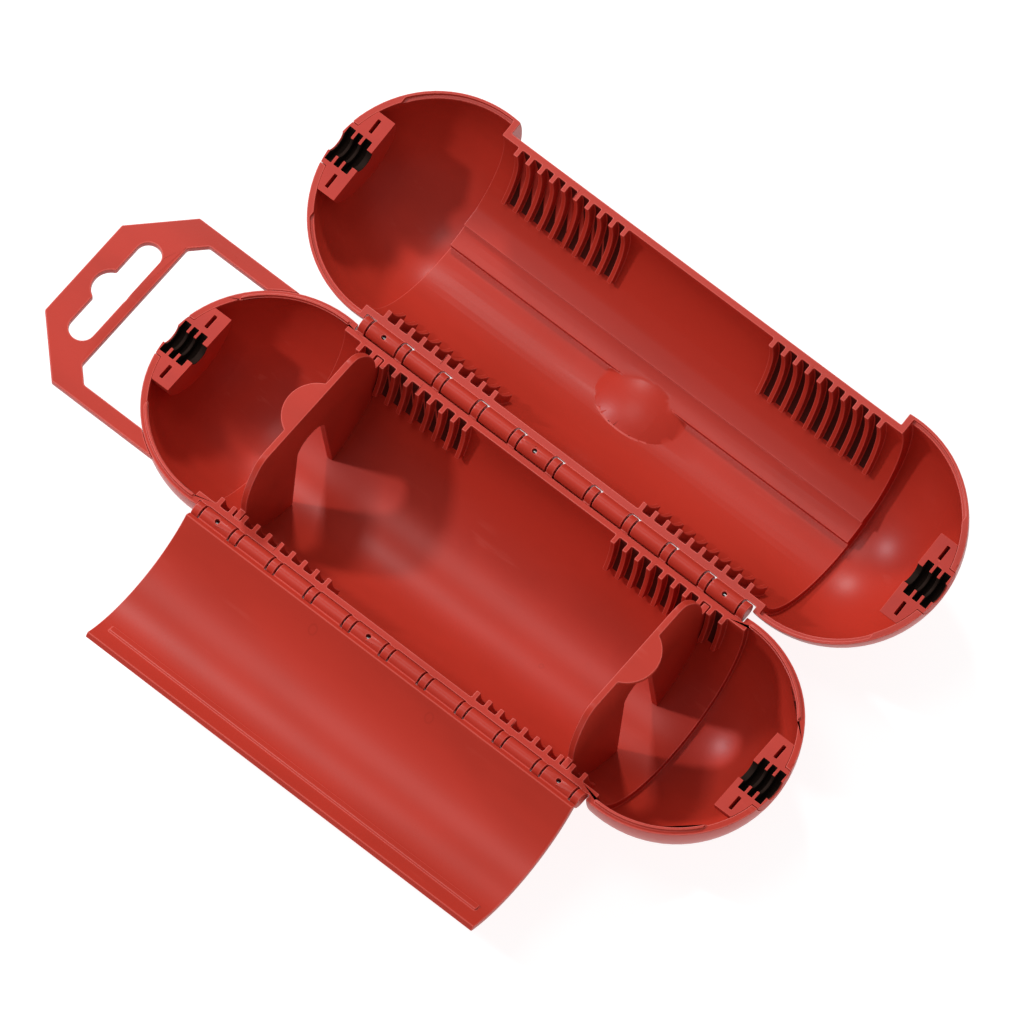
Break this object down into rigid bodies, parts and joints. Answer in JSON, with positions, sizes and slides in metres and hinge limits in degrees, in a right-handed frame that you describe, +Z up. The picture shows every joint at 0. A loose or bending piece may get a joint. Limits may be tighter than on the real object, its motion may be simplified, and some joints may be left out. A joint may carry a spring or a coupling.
{
  "type": "cable connection safety box",
  "caption": "Capsule-shaped weather box for a mated plug and coupler, lying open on its side hinges, with locking flap, end seals and hanger frame.",
  "frame": {"origin": "middle of the connector cradle: on the base capsule's axis, in its rim plane, halfway along the capsule", "axes": "+X along the capsule away from the hanger, +Y towards the open lid, +Z up out of the base"},
  "size_m": [0.2511, 0.1932, 0.0558],
  "materials": {
    "shell_plastic": "injection-moulded red polypropylene, satin",
    "seal_rubber": "soft moulded red elastomer",
    "pin_steel": "plain drawn wire"
  },
  "bodies": {
    "base": {"base_shell": "shell_plastic", "hanger": "shell_plastic", "hanger_end_plate": "shell_plastic", "far_end_plate": "shell_plastic", "base_seal_hanger_end": "seal_rubber", "base_seal_far_end": "seal_rubber", "lid_hinge_pin": "pin_steel", "flap_hinge_pin": "pin_steel"},
    "lid": {"lid_shell": "shell_plastic", "lid_seal_hanger_end": "seal_rubber", "lid_seal_far_end": "seal_rubber"},
    "flap": {"locking_flap": "shell_plastic"}
  },
  "joints": [
    {"name": "lid_hinge", "type": "hinge", "parent": "base", "child": "lid", "pos_m": [0, 0.0367, 0], "axis": [1, 0, 0], "range_deg": [0, 168]},
    {"name": "flap_hinge", "type": "hinge", "parent": "base", "child": "flap", "pos_m": [0, -0.0367, 0], "axis": [-1, 0, 0], "range_deg": [0, 141]}
  ]
}
